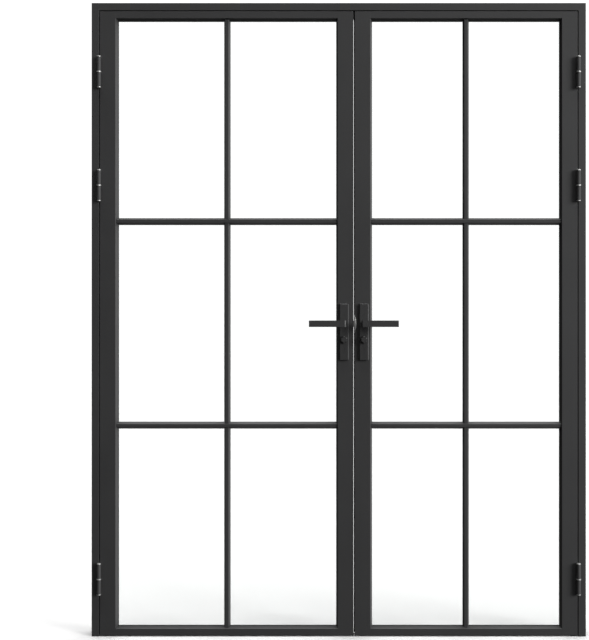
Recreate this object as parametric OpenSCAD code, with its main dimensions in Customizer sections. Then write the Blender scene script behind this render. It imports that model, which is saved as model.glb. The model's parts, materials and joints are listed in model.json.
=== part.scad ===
// Pair of slim glazed aluminium doors, one leaf wider than the other, in a three-sided frame.
// Millimetres. X runs along the frame, the viewer stands at -Y and Z is up from the floor.
// The origin is at floor level, on the frame's centre line, in the middle of the leaf thickness.

/* [Leaves] */
// Height of both leaves
leaf_h = 2040; // [1900:1:2300]
// Width of the active leaf, on the left
active_w = 828; // [626:1:1026]
// Width of the passive leaf, on the right
passive_w = 728; // [526:1:926]
// Thickness of both leaves
leaf_t = 45; // [42:0.5:56]
// Flat width of a stile's face
stile_face = 51; // [49:0.5:70]
// Flat width of a rail's face
rail_face = 22.5; // [22:0.5:60]
// Width of the slope between a face and the glass
slope_w = 5.4; // [3:0.1:8]
// Depth of the channel that holds the glass edge
channel = 8; // [8:0.5:12]
// Wall of the extruded profiles
wall = 2.5; // [2.2:0.1:3]

/* [Frame] */
// Face width of the jambs
jamb_face = 24; // [20:0.5:40]
// Face height of the head
head_face = 24; // [18:0.5:40]
// Depth of the frame from front to back
frame_d = 70; // [62:1:110]
// How far a stop laps behind its leaf
stop_lap = 9; // [7:0.5:15]
// Wall of the clip-in stops
stop_wall = 1.6; // [1.2:0.1:2]
// Thickness of the seal between stop and leaf
seal_t = 3.5; // [2:0.1:6]
// Diameter of the frame's fixing holes
fix_d = 8.4; // [6:0.1:10.5]
// Distance between the two fixing holes of a pair
fix_pitch = 600; // [300:10:700]
// Height of the lower pair's first hole
fix_low = 250; // [150:10:400]
// Depth of the upper pair's last hole below the head
fix_high = 150; // [100:10:400]

/* [Gaps] */
// Gap between a leaf and its jamb
side_gap = 3; // [2.5:0.1:4]
// Gap between the leaves and the head
head_gap = 3; // [2:0.1:5]
// Gap between the two leaves
meeting_gap = 5; // [4.5:0.1:8]
// Gap between the leaves and the floor
floor_gap = 3; // [2:0.1:8]
// Gap left under the brush strips
brush_gap = 0.8; // [0.5:0.1:1.5]
// Gap left beside the brush between the leaves
pile_gap = 1.8; // [1.6:0.1:2.5]
// Clearance between pieces that slide or fit into each other
clear = 0.3; // [0.2:0.05:0.4]

/* [Glass and bars] */
// Thickness of the glass
glass_t = 8; // [6:0.5:10]
// Thickness of the gaskets on each side of the glass
gasket_t = 3; // [2:0.1:4]
// Gap between the glass edge and the bottom of its channel
glass_edge = 3; // [2:0.5:5]
// Height of a cross bar at the glass
cross_base = 22.5; // [16:0.5:30]
// Width of an upright bar at the glass
upright_base = 20.5; // [16:0.5:30]
// Width of a glazing bar's flat front
bar_front = 10.5; // [8:0.5:14]
// Height of the cross bars above the glass
cross_rise = 14.5; // [13:0.1:15]
// Height of the upright bars above the glass
upright_rise = 12.5; // [8:0.1:12.9]
// Panes above each other in a leaf
rows = 3; // [2:1:4]

/* [Hinges] */
// Length of a hinge with its caps
hinge_l = 104; // [80:1:140]
// Diameter of the barrel
barrel_d = 14; // [13:0.5:16]
// Diameter of the middle ring
ring_d = 15.6; // [15:0.2:18]
// Height of the middle ring
ring_h = 4; // [3:0.5:6]
// Height of the end caps
cap_h = 3.5; // [2.5:0.5:6]
// Diameter of the hinge pin
pin_d = 8; // [6:0.5:9]
// Running clearance of the hinge pin, on the radius
pin_clear = 0.05; // [0.02:0.01:0.1]
// Distance of the hinge axis in front of the leaf
hinge_out = 8.5; // [8.2:0.1:12]
// Thickness of the hinge plates
plate_t = 2.4; // [2:0.1:2.8]
// Gap between the two plates of a hinge
plate_gap = 0.8; // [0.6:0.1:1.2]
// Depth of the hinge plates behind the leaf's face
plate_d = 30; // [20:1:38]
// Centre of the lowest hinge above the leaf's foot
hinge_low = 186; // [120:1:300]
// Centre of the middle hinge below the leaf's top
hinge_mid = 570; // [400:1:900]
// Centre of the top hinge below the leaf's top
hinge_top = 200; // [120:1:300]

/* [Handles] */
// Height of the levers' axis above the floor
lever_z = 1022; // [950:1:1100]
// Length of a lever
lever_l = 120; // [100:1:140]
// Height of a lever's bar
lever_h = 21; // [19:0.5:24]
// Thickness of a lever's bar
lever_t = 10; // [8:0.5:14]
// Distance of a lever's front from the leaf's face
lever_out = 52; // [45:0.5:65]
// Length of the bar past the lever's axis
lever_tail = 7.5; // [7:0.5:12]
// Diameter of a lever's neck
neck_d = 15; // [14:0.5:16]
// Side of the square spindle
spindle = 8; // [7:0.5:8]
// Width of the backplates
back_w = 32; // [28:0.5:34]
// Height of the backplates
back_h = 184; // [176:1:220]
// Thickness of the backplates
back_t = 9.5; // [8:0.5:12]
// Bevel on the backplates' edges
back_bevel = 3; // [1:0.5:4]
// Height of a lever's axis above the middle of its backplate
lever_rise = 27; // [20:0.5:28]
// Distance of the screws from the middle of the backplate
screw_reach = 55.5; // [55:0.5:75]
// Diameter of the backplate screws
screw_d = 5; // [4:0.5:5]
// Distance of the thumb-turn below the lever's axis
turn_drop = 52; // [48:0.5:56]
// Diameter of a thumb-turn's knob
knob_d = 22; // [18:0.5:23]
// Length of a thumb-turn's knob
knob_l = 13; // [10:0.5:18]
// Depth of the flutes in a thumb-turn's knob
flute = 3; // [1:0.1:3]
// Diameter of the collar under a thumb-turn
collar_d = 26; // [24:0.5:27]
// Diameter of the thumb-turn's shaft
shaft_d = 8; // [6:0.5:8]

/* [Lock] */
// Room between the lever's axis and the back of the stile's chamber
lock_room = 10.5; // [10.5:0.1:12]
// Thickness of the lock case
case_t = 16; // [15:0.5:20]
// Height of the lock case
case_h = 100; // [98:1:104]
// Wall of the lock case
case_wall = 1.2; // [1:0.1:1.5]
// Width of the forend
forend_w = 20; // [18:0.5:24]
// Height of the forend
forend_h = 130; // [120:1:160]
// Height of the latch
latch_h = 20; // [18:0.5:20]
// Width of the latch
latch_w = 12; // [11:0.5:13]
// How far the latch stands out of the leaf's edge
latch_out = 10; // [8:0.5:10]
// Height of the deadbolt
bolt_h = 24; // [20:0.5:24]
// Width of the deadbolt
bolt_w = 10; // [9.6:0.2:12]
// Radius of the crank that throws the deadbolt
crank_r = 7; // [6:0.1:7]
// Diameter of the top bolt
top_bolt_d = 10; // [8:0.5:12]
// How far the top bolt stands out of the leaf's top
top_bolt_out = 12; // [8:0.5:14]
// Diameter of the rod under the top bolt
rod_d = 8; // [6:0.5:8]
// Thickness of the strike plate
strike_t = 1.5; // [1:0.1:2]
// Height of the strike plate
strike_h = 58; // [50:1:70]
// Height of the strike plate's lip
lip_h = 56; // [28:1:58]
// How far the lip reaches over the passive leaf's face
lip_reach = 5; // [3:0.5:6]

/* [Hidden] */
$fn = 48;
front = -leaf_t / 2;
back = leaf_t / 2;
frame_back = front + frame_d;
leaf_z0 = floor_gap;
leaf_z1 = floor_gap + leaf_h;
head_z = leaf_z1 + head_gap;
total_h = head_z + head_face;
half_w = jamb_face + side_gap + (active_w + meeting_gap + passive_w) / 2;
glass_face = glass_t / 2;
seat = glass_face + gasket_t;
box_x = stile_face - channel;
box_z = rail_face - channel;
sight_x = stile_face + slope_w;
sight_z = rail_face + slope_w;
slope_rate = slope_w / (leaf_t / 2 - seat);
stop_front = back + seal_t;
stop_x = side_gap + stop_lap;
stop_z = head_gap + stop_lap;
fix_y = (stop_front + frame_back) / 2;
fix_heights = [fix_low, fix_low + fix_pitch, head_z - fix_high - fix_pitch, head_z - fix_high];
cleat_t = 6;
cleat_l = 60;
hinge_x = -side_gap / 2;
hinge_y = front - hinge_out;
recess = plate_t + plate_gap / 2 - side_gap / 2;
hinge_heights = [leaf_z0 + hinge_low, leaf_z1 - hinge_mid, leaf_z1 - hinge_top];
knuckle_l = (hinge_l - 2 * cap_h - ring_h) / 2;
backset = box_x - wall - lock_room;
plate_z = lever_z - lever_rise;
turn_z = lever_z - turn_drop;
hub_r = 7.5;
arm_r = 16;
arm_w = 5;
lever_turn = 40;
latch_travel = latch_out;
crank_swing = 90;
bolt_throw = 2 * crank_r * sin(crank_swing / 2);
rod_x = 16;
rod_travel = top_bolt_out + 2;
rod_grip = 20;
strike_back = latch_w / 2 + 6;
pile_w = 5;
edge_screw_d = 4;
edge_screw_in = 7;
black = "#3a3a3b";
dark = "#2b2b2c";
metal = "#c9c9c6";
rubber = "#1d1d1e";

// A leaf is drawn from its hinge edge at x = 0 to its meeting edge at x = w.
module at_active() {
    translate([-half_w + jamb_face + side_gap, 0, 0]) children();
}

module at_passive() {
    translate([half_w - jamb_face - side_gap, 0, 0]) mirror([1, 0, 0]) children();
}

// Origin on the lever's axis, +X towards the meeting edge.
module at_lock(w, z) {
    translate([w - backset, 0, z]) children();
}

module both_faces() {
    children();
    mirror([0, 1, 0]) children();
}

module block(x, y, z) {
    translate([x[0], y[0], z[0]]) cube([x[1] - x[0], y[1] - y[0], z[1] - z[0]]);
}

// Straight hole or pin along Y, between two depths.
module rod_y(r, y0, y1) {
    translate([0, y1, 0]) rotate([90, 0, 0]) cylinder(r = r, h = y1 - y0);
}

// Frame profiles

module fixing_holes() {
    for (z = fix_heights)
        translate([-1, fix_y, z]) rotate([0, 90, 0]) cylinder(d = fix_d, h = jamb_face + 2);
}

module jamb() {
    color(black) difference() {
        block([0, jamb_face], [front, frame_back], [0, total_h]);
        block([wall, jamb_face - wall], [front + wall, frame_back - wall], [-1, total_h - wall]);
        fixing_holes();
        for (z = hinge_heights)
            block([jamb_face - recess, jamb_face + 1], [front - 1, front + plate_d],
                  [z - hinge_l / 2 + cap_h, z + hinge_l / 2 - cap_h]);
        block([jamb_face - wall - 1, jamb_face + 1], [front + wall, frame_back - wall],
              [head_z + wall, total_h - wall]);
    }
}

module left_jamb() {
    translate([-half_w, 0, 0]) jamb();
}

module right_jamb() {
    mirror([1, 0, 0]) left_jamb();
}

top_bolt_x = half_w - jamb_face - side_gap - passive_w + rod_x;

module head() {
    inner = half_w - jamb_face;
    color(black) difference() {
        block([-inner, inner], [front, frame_back], [head_z, total_h]);
        block([-inner - 1, inner + 1], [front + wall, frame_back - wall], [head_z + wall, total_h - wall]);
        translate([top_bolt_x, 0, head_z - 1]) cylinder(d = top_bolt_d + 4 * clear, h = wall + 2);
    }
}

module head_keep() {
    color(metal) difference() {
        block([top_bolt_x - 22, top_bolt_x + 22], [front + wall + 4, 16], [head_z + wall, head_z + wall + 3]);
        translate([top_bolt_x, 0, head_z]) cylinder(d = top_bolt_d + 4 * clear, h = wall + 6);
    }
}

module frame_cleat() {
    x0 = -half_w + jamb_face - wall - cleat_t;
    y = [front + wall + clear, frame_back - wall - clear];
    color(metal) difference() {
        union() {
            block([x0, x0 + cleat_t + wall + cleat_l], y, [head_z + wall + clear, total_h - wall - clear]);
            block([x0, x0 + cleat_t], y, [head_z - cleat_l, total_h - wall - clear]);
        }
        for (dy = [-1, 1])
            translate([x0 + cleat_t + wall + cleat_l / 2, (y[0] + y[1]) / 2 + dy * 18, head_z])
                cylinder(d = 5, h = head_face);
    }
}

module frame_cleats() {
    frame_cleat();
    mirror([1, 0, 0]) frame_cleat();
}

module left_stop() {
    x0 = -half_w + jamb_face;
    color(black) difference() {
        block([x0, x0 + stop_x], [stop_front, frame_back], [0, head_z]);
        block([x0 + stop_wall, x0 + stop_x - stop_wall],
              [stop_front + stop_wall, frame_back - stop_wall], [-1, head_z + 1]);
    }
}

module right_stop() {
    mirror([1, 0, 0]) left_stop();
}

module head_stop() {
    inner = half_w - jamb_face - stop_x;
    color(black) difference() {
        block([-inner, inner], [stop_front, frame_back], [head_z - stop_z, head_z]);
        block([-inner - 1, inner + 1], [stop_front + stop_wall, frame_back - stop_wall],
              [head_z - stop_z + stop_wall, head_z - stop_wall]);
    }
}

module stop_seals() {
    inner = half_w - jamb_face;
    y = [back + clear, stop_front];
    color(rubber) {
        for (side = [0, 1])
            mirror([side, 0, 0])
                block([-inner + side_gap + 1, -inner + stop_x - 1], y, [1, head_z - head_gap - 1]);
        block([-inner + stop_x, inner - stop_x], y, [head_z - stop_z + 1, head_z - head_gap - 1]);
    }
}

// Leaf profiles

// Section of a stile or rail: v runs in from the outer edge, y from front to back.
module profile(face) {
    box = face - channel;
    difference() {
        polygon([[0, front], [face, front], [face, -seat], [box, -seat], [box, back], [0, back]]);
        polygon([[wall, front + wall], [box - wall, front + wall],
                 [box - wall, back - wall], [wall, back - wall]]);
        polygon([[box, front + wall], [face - wall, front + wall],
                 [face - wall, -seat - wall], [box, -seat - wall]]);
    }
}

// Section of the slope that leads from the face down to the glass.
module slope(face) {
    polygon([[face - 1, front], [face, front], [face + slope_w, -seat], [face - 1, -seat]]);
}

// Section of the snap-in bead behind the glass.
module bead() {
    skin = 1.5;
    difference() {
        polygon([[clear, seat], [channel + slope_w, seat], [channel, back], [clear, back]]);
        polygon([[clear + skin, seat + skin], [channel + slope_w - 2 * skin, seat + skin],
                 [channel - skin, back - skin], [clear + skin, back - skin]]);
    }
}

// A strip along Z with its section in (v, y), cut at 45 degrees at both ends from v = base.
// The mitre joints stay open by the width of a hair line.
module mitred(length, base, reach) {
    line = 0.1;
    intersection() {
        linear_extrude(length) children();
        rotate([90, 0, 0]) translate([0, 0, -leaf_t]) linear_extrude(2 * leaf_t)
            polygon([[base - 2, line], [base, line],
                     [base + reach, reach + line], [base + reach, length - reach - line],
                     [base, length - line], [base - 2, length - line]]);
    }
}

module on_left(x, z) {
    translate([x, 0, z]) children();
}

module on_right(x, z) {
    translate([x, 0, z]) mirror([1, 0, 0]) children();
}

module on_foot(x, z) {
    translate([x, 0, z]) rotate([0, -90, 0]) children();
}

module on_top(x, z) {
    translate([x, 0, z]) mirror([0, 0, 1]) rotate([0, -90, 0]) children();
}

cleat_y = [-seat, back - wall];

module cleat_slot(z) {
    block([box_x - wall - 1, box_x + 1], cleat_y, z);
}

foot_chamber = [leaf_z0 + wall, leaf_z0 + box_z - wall];
top_chamber = [leaf_z1 - box_z + wall, leaf_z1 - wall];

module stile() {
    difference() {
        union() {
            translate([0, 0, leaf_z0]) linear_extrude(leaf_h) profile(stile_face);
            translate([0, 0, leaf_z0 + rail_face])
                mitred(leaf_h - 2 * rail_face, stile_face, slope_w) slope(stile_face);
        }
        cleat_slot(foot_chamber);
        cleat_slot(top_chamber);
    }
}

module hinge_stile() {
    color(black) difference() {
        stile();
        for (z = hinge_heights)
            block([-1, recess], [front - 1, front + plate_d],
                  [z - hinge_l / 2 + cap_h, z + hinge_l / 2 - cap_h]);
    }
}

module handle_holes() {
    rod_y(spindle * 0.75 + clear, front - 1, back + 1);
    translate([0, 0, -turn_drop]) rod_y(shaft_d / 2 + clear, front - 1, back + 1);
    for (side = [-1, 1])
        translate([0, 0, -lever_rise + side * screw_reach]) rod_y(screw_d / 2 + clear, front - 1, back + 1);
}

module active_stile(w) {
    color(black) difference() {
        on_right(w, 0) stile();
        at_lock(w, lever_z) handle_holes();
        block([w - wall - 1, w + 1], [-forend_w / 2 - clear, forend_w / 2 + clear],
              [plate_z - forend_h / 2 - clear, plate_z + forend_h / 2 + clear]);
    }
}

module passive_stile(w) {
    color(black) difference() {
        on_right(w, 0) stile();
        at_lock(w, lever_z) handle_holes();
        block([w - wall - 1, w + 1], [-latch_w / 2 - 1, latch_w / 2 + 1],
              [lever_z - latch_h / 2 - 1, lever_z + latch_h / 2 + 1]);
        block([w - wall - 1, w + 1], [-bolt_w / 2 - 1, bolt_w / 2 + 1],
              [turn_z - bolt_h / 2 - 1, turn_z + bolt_h / 2 + 1]);
    }
}

module rail(w) {
    length = w - 2 * box_x;
    difference() {
        union() {
            linear_extrude(length) profile(rail_face);
            translate([0, 0, channel]) mitred(length - 2 * channel, rail_face, slope_w) slope(rail_face);
        }
        for (z = [[-1, channel], [length - channel, length + 1]])
            block([-1, rail_face + 1], [front - 1, -seat], z);
    }
}

module bottom_rail(w) {
    color(black) on_foot(w - box_x, leaf_z0) rail(w);
}

module top_rail(w) {
    color(black) on_top(w - box_x, leaf_z1) rail(w);
}

module corner_cleat(foot) {
    chamber = foot ? foot_chamber : top_chamber;
    z = [chamber[0] + clear, chamber[1] - clear];
    x0 = box_x - wall - cleat_t;
    y = [cleat_y[0] + clear, cleat_y[1] - clear];
    upright = foot ? [z[0], z[0] + cleat_l] : [z[1] - cleat_l, z[1]];
    difference() {
        union() {
            block([x0, box_x + cleat_l], y, z);
            block([x0, box_x - wall], y, upright);
        }
        for (dy = [-1, 1])
            translate([box_x + cleat_l / 2, (y[0] + y[1]) / 2 + dy * 7, z[0] - 1])
                cylinder(d = 5, h = z[1] - z[0] + 2);
    }
}

module cleats(w) {
    color(metal) for (foot = [true, false]) {
        corner_cleat(foot);
        on_right(w, 0) corner_cleat(foot);
    }
}

module beads(w) {
    x = [box_x, w - box_x];
    z = [leaf_z0 + box_z, leaf_z1 - box_z];
    reach = channel + slope_w;
    color(black) {
        on_left(x[0], z[0]) mitred(z[1] - z[0], 0, reach) bead();
        on_right(x[1], z[0]) mitred(z[1] - z[0], 0, reach) bead();
        on_foot(x[1], z[0]) mitred(x[1] - x[0], 0, reach) bead();
        on_top(x[1], z[1]) mitred(x[1] - x[0], 0, reach) bead();
    }
}

module glass(w) {
    color([0.8, 0.88, 0.88, 0.35])
        block([box_x + glass_edge, w - box_x - glass_edge], [-glass_face, glass_face],
              [leaf_z0 + box_z + glass_edge, leaf_z1 - box_z - glass_edge]);
}

module gaskets(w) {
    lip = 1;
    outer = glass_edge + 1;
    color(rubber) both_faces() difference() {
        block([box_x + outer, w - box_x - outer], [-seat, -glass_face],
              [leaf_z0 + box_z + outer, leaf_z1 - box_z - outer]);
        block([sight_x - lip, w - sight_x + lip], [-seat - 1, 0],
              [leaf_z0 + sight_z - lip, leaf_z1 - sight_z + lip]);
    }
}

module setting_blocks(w) {
    z0 = leaf_z0 + box_z;
    length = 80;
    color(dark) for (x = [w / 4, 3 * w / 4])
        block([x - length / 2, x + length / 2], [-glass_face, glass_face], [z0, z0 + glass_edge]);
}

// Glazing bars: sloped on both sides, with ends that follow the slope they meet.

pane_h = (leaf_h - 2 * sight_z - (rows - 1) * cross_base) / rows;
function cross_z(k) = leaf_z0 + sight_z + k * pane_h + (k - 0.5) * cross_base;
function slope_at(rise) = slope_rate * max(0, glass_face + rise - seat);
function bar_half(base, rise) = base / 2 - (base - bar_front) / 2 * rise / cross_rise;

// Section across a bar: y towards the glass, then the width.
module bar_section(base, rise) {
    half = bar_half(base, rise);
    polygon([[-glass_face, -base / 2], [-glass_face, base / 2],
             [-glass_face - rise, half], [-glass_face - rise, -half]]);
}

module cross_bar(w, z) {
    in0 = sight_x + clear;
    in1 = in0 - slope_at(cross_rise);
    tip = -glass_face - cross_rise;
    intersection() {
        translate([0, 0, z]) rotate([90, 0, 90]) linear_extrude(w) bar_section(cross_base, cross_rise);
        translate([0, 0, z - cross_base]) linear_extrude(2 * cross_base)
            polygon([[in0, 0], [in0, -seat], [in1, tip], [w - in1, tip], [w - in0, -seat], [w - in0, 0]]);
    }
}

module cross_bars(w) {
    color(black) both_faces() for (k = [1 : rows - 1]) cross_bar(w, cross_z(k));
}

// Ends of upright bar k: at the glass, at the seat's depth and at the bar's front.
function upright_end(at_rail, edge, sign) =
    at_rail
        ? [edge + sign * clear, edge + sign * clear, edge + sign * (clear - slope_at(upright_rise))]
        : [edge + sign * clear, edge + sign * (clear + bar_half(cross_base, gasket_t) - cross_base / 2),
           edge + sign * (clear + bar_half(cross_base, upright_rise) - cross_base / 2)];

module upright_bar(w, k) {
    tip = -glass_face - upright_rise;
    z0 = k == 0 ? leaf_z0 + sight_z : cross_z(k) + cross_base / 2;
    z1 = k == rows - 1 ? leaf_z1 - sight_z : cross_z(k + 1) - cross_base / 2;
    low = upright_end(k == 0, z0, 1);
    high = upright_end(k == rows - 1, z1, -1);
    intersection() {
        translate([w / 2, 0, 0]) rotate([0, 0, 90]) linear_extrude(leaf_z1)
            bar_section(upright_base, upright_rise);
        translate([w / 2 - upright_base, 0, 0]) rotate([90, 0, 90]) linear_extrude(2 * upright_base)
            polygon([[0, low[0]], [-seat, low[1]], [tip, low[2]],
                     [tip, high[2]], [-seat, high[1]], [0, high[0]]]);
    }
}

module upright_bars(w) {
    color(black) both_faces() for (k = [0 : rows - 1]) upright_bar(w, k);
}

// Brush under the bottom rail, with two rows of pile.
module brush(w) {
    color(dark) block([1, w - 1], [-pile_w, pile_w], [brush_gap, leaf_z0]);
}

// Brush on the passive leaf's edge, behind the strike.
module meeting_brush(w) {
    y0 = strike_back + 1;
    color(dark) block([w, w + meeting_gap - pile_gap], [y0, y0 + pile_w], [leaf_z0 + 1, leaf_z1 - 1]);
}

// Hinges: the frame's half carries the pin, the leaf's half drops onto it.

module hinge_half(sign, low, high, bore) {
    near = sign * plate_gap / 2;
    far = near + sign * plate_t;
    x = [min(near, far), max(near, far)];
    full = hinge_l / 2 - cap_h;
    difference() {
        union() {
            translate([0, 0, low]) cylinder(d = barrel_d, h = high - low);
            block(x, [0, hinge_out + 1], [low, high]);
            block(x, [hinge_out, hinge_out + plate_d], [-full, full]);
        }
        translate([0, 0, low - 1]) cylinder(r = bore, h = high - low + 2);
        for (z = [-0.6, 0.6])
            translate([x[0] - 1, hinge_out + plate_d * 0.65, z * full]) rotate([0, 90, 0])
                cylinder(d = 5.2, h = plate_t + 2);
    }
}

module at_hinges() {
    for (z = hinge_heights) translate([hinge_x, hinge_y, z]) children();
}

module left_frame_hinges() {
    color(black) at_active() at_hinges()
        hinge_half(-1, -ring_h / 2 - knuckle_l, -ring_h / 2, pin_d / 2);
}

module right_frame_hinges() {
    color(black) at_passive() at_hinges()
        hinge_half(-1, -ring_h / 2 - knuckle_l, -ring_h / 2, pin_d / 2);
}

module leaf_hinges() {
    color(black) at_hinges()
        hinge_half(1, ring_h / 2, ring_h / 2 + knuckle_l, pin_d / 2 + pin_clear);
}

module hinge_pin() {
    translate([0, 0, -hinge_l / 2]) rotate_extrude()
        polygon([[0, 0], [barrel_d / 2 - 1, 0], [barrel_d / 2, 1], [barrel_d / 2, cap_h],
                 [pin_d / 2, cap_h], [pin_d / 2, hinge_l - cap_h - 1], [0, hinge_l - cap_h - 1]]);
}

module hinge_pins() {
    color(metal) {
        at_active() at_hinges() hinge_pin();
        at_passive() at_hinges() hinge_pin();
    }
}

module hinge_ring() {
    difference() {
        translate([0, 0, -ring_h / 2]) cylinder(d = ring_d, h = ring_h);
        translate([0, 0, -ring_h]) cylinder(d = pin_d, h = 2 * ring_h);
    }
}

module hinge_rings() {
    color(metal) {
        at_active() at_hinges() hinge_ring();
        at_passive() at_hinges() hinge_ring();
    }
}

module hinge_caps() {
    color(metal) at_hinges() translate([0, 0, hinge_l / 2 - cap_h]) rotate_extrude()
        polygon([[0, 0], [barrel_d / 2, 0], [barrel_d / 2, cap_h - 1],
                 [barrel_d / 2 - 1, cap_h], [0, cap_h]]);
}

// Handles, drawn on the front face with the origin on the lever's axis.

module backplate() {
    mid = -lever_rise;
    y1 = front;
    y0 = front - back_t;
    difference() {
        intersection() {
            translate([0, 0, mid]) rotate([90, 0, 0]) translate([0, 0, -y1]) linear_extrude(back_t)
                rounded_plate(back_w, back_h, 4);
            translate([0, 0, mid - back_h / 2]) linear_extrude(back_h)
                polygon([[-back_w / 2, y1], [-back_w / 2, y0 + back_bevel], [-back_w / 2 + back_bevel, y0],
                         [back_w / 2 - back_bevel, y0], [back_w / 2, y0 + back_bevel], [back_w / 2, y1]]);
        }
        rod_y(neck_d / 2 + clear, y0 - 1, y1 + 1);
        translate([0, 0, -turn_drop]) rod_y(shaft_d / 2 + clear, y0 - 1, y1 + 1);
        for (side = [-1, 1])
            translate([0, 0, mid + side * screw_reach]) screw_hole(y0, y1);
    }
    translate([0, 0, -turn_drop]) difference() {
        rod_y(collar_d / 2, y0 - 3, y0);
        rod_y(shaft_d / 2 + clear, y0 - 4, y0 + 1);
    }
}

module rounded_plate(w, h, r) {
    square([w, h - 2 * r], center = true);
    square([w - 2 * r, h], center = true);
    for (x = [-1, 1], z = [-1, 1]) translate([x * (w / 2 - r), z * (h / 2 - r)]) circle(r = r);
}

module screw_hole(y0, y1) {
    rod_y(screw_d / 2 + clear, y0 - 1, y1 + 1);
    translate([0, y0, 0]) rotate([-90, 0, 0]) cylinder(d1 = 2 * screw_d, d2 = screw_d, h = screw_d / 2);
}

module backplates(w) {
    color(black) at_lock(w, lever_z) both_faces() backplate();
}

module plate_screws(w) {
    y0 = front - back_t;
    color(dark) at_lock(w, plate_z) for (side = [-1, 1]) translate([0, 0, side * screw_reach]) {
        difference() {
            union() {
                rod_y(screw_d / 2, y0, -y0);
                both_faces() translate([0, y0, 0]) rotate([-90, 0, 0])
                    cylinder(d1 = 2 * screw_d, d2 = screw_d, h = screw_d / 2);
            }
            both_faces() translate([0, y0 + screw_d / 4, 0]) rotate([90, 0, 0])
                cylinder(d = screw_d * 0.6, h = screw_d, $fn = 6);
        }
    }
}

module lever() {
    y0 = front - lever_out;
    edge = 1.5;
    bar_x = [lever_tail - lever_l, lever_tail];
    difference() {
        union() {
            intersection() {
                block(bar_x, [y0, y0 + lever_t], [-lever_h / 2, lever_h / 2]);
                translate([0, 0, -lever_h]) linear_extrude(2 * lever_h)
                    polygon([[bar_x[0], y0 + edge], [bar_x[0] + edge, y0], [bar_x[1] - 2 * edge, y0],
                             [bar_x[1], y0 + 2 * edge], [bar_x[1], y0 + lever_t], [bar_x[0], y0 + lever_t]]);
            }
            rod_y(neck_d / 2, y0 + lever_t - 1, front);
        }
        block([-spindle / 2, spindle / 2], [front - 28, front + 1], [-spindle / 2, spindle / 2]);
    }
}

module levers(w) {
    color(black) at_lock(w, lever_z) both_faces() lever();
}

module spindle_bar(w) {
    color(metal) at_lock(w, lever_z)
        block([-spindle / 2, spindle / 2], [front - 28, back + 28], [-spindle / 2, spindle / 2]);
}

// A fluted knob on each face; the front one carries the shaft.
module knob() {
    y0 = front - back_t - 3 - clear;
    flute_r = 4;
    difference() {
        translate([0, y0, 0]) rotate([90, 0, 0]) rotate_extrude()
            polygon([[0, 0], [knob_d / 2, 0], [knob_d / 2, knob_l - 2],
                     [knob_d / 2 - 2, knob_l], [0, knob_l]]);
        for (k = [0 : 5]) rotate([0, 60 * k, 0]) translate([knob_d / 2 + flute_r - flute, 0, 0])
            rod_y(flute_r, y0 - knob_l - 1, y0 - 1.5);
    }
}

module turn_shaft() {
    rod_y(shaft_d / 2, front - back_t - 4, back + back_t + 3 + knob_l / 2);
}

// Crank on the thumb-turn's shaft, pointing down and away from the meeting edge at rest.
module crank() {
    rotate([0, crank_swing / 2, 0]) {
        rod_y(5, -2.4, 2.4);
        block([-2, 2], [-2.4, 2.4], [-crank_r, 0]);
        translate([0, 0, -crank_r]) rod_y(2, -2.4, 2.4);
        translate([0, 0, -crank_r]) rod_y(1.5, -2.4, 5.4);
    }
}

module turns(w, cranked) {
    color(black) at_lock(w, turn_z) {
        union() {
            knob();
            turn_shaft();
            if (cranked) crank();
        }
        difference() {
            mirror([0, 1, 0]) knob();
            rod_y(shaft_d / 2 + pin_clear, 0, back + back_t + 3 + knob_l / 2 + pin_clear);
        }
    }
}

// Locks: origin on the lever's axis, +X towards the meeting edge.

case_top = lever_z - lever_rise + case_h / 2;
case_foot = lever_z - lever_rise - case_h / 2;

module lock_case_holes() {
    translate([0, 0, lever_z]) rod_y(hub_r + clear, -case_t, case_t);
    translate([0, 0, turn_z]) rod_y(shaft_d / 2 + clear, -case_t, case_t);
}

module lock_case(w) {
    x = [-lock_room + clear, backset - wall];
    y = [-case_t / 2, case_t / 2];
    color(metal) at_lock(w, 0) difference() {
        union() {
            block(x, y, [case_foot, case_top]);
            block([x[1] - 3, x[1]], y, [plate_z - forend_h / 2 - 12, plate_z + forend_h / 2 + 12]);
        }
        block([x[0] + case_wall, x[1] + 1], [y[0] + case_wall, y[1] - case_wall],
              [case_foot + case_wall, case_top - case_wall]);
        lock_case_holes();
    }
}

// Closed gear case of the passive leaf, with the bore that takes the foot of the top bolt's rod.
module gear_case(w) {
    x = [-lock_room + clear, backset - meeting_gap - wall];
    y = [-case_t / 2, case_t / 2];
    bore_foot = case_top - rod_grip - rod_travel - 2;
    color(metal) at_lock(w, 0) difference() {
        block(x, y, [case_foot, case_top]);
        translate([0, 0, lever_z]) rod_y(spindle * 0.75 + clear, -case_t, case_t);
        translate([0, 0, turn_z]) rod_y(shaft_d / 2 + clear, -case_t, case_t);
        translate([backset - rod_x, 0, bore_foot]) cylinder(r = rod_d / 2 + clear, h = case_h);
    }
}

module forend(w) {
    color(metal) at_lock(w, 0) difference() {
        block([backset - wall, backset], [-forend_w / 2, forend_w / 2],
              [plate_z - forend_h / 2, plate_z + forend_h / 2]);
        block([0, backset + 1], [-latch_w / 2 - clear, latch_w / 2 + clear],
              [lever_z - latch_h / 2 - clear, lever_z + latch_h / 2 + clear]);
        block([0, backset + 1], [-bolt_w / 2 - clear, bolt_w / 2 + clear],
              [turn_z - bolt_h / 2 - clear, turn_z + bolt_h / 2 + clear]);
        for (side = [-1, 1])
            translate([0, 0, plate_z + side * (forend_h / 2 - edge_screw_in)]) rotate([0, 90, 0])
                cylinder(d = edge_screw_d, h = 2 * backset);
    }
}

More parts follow.
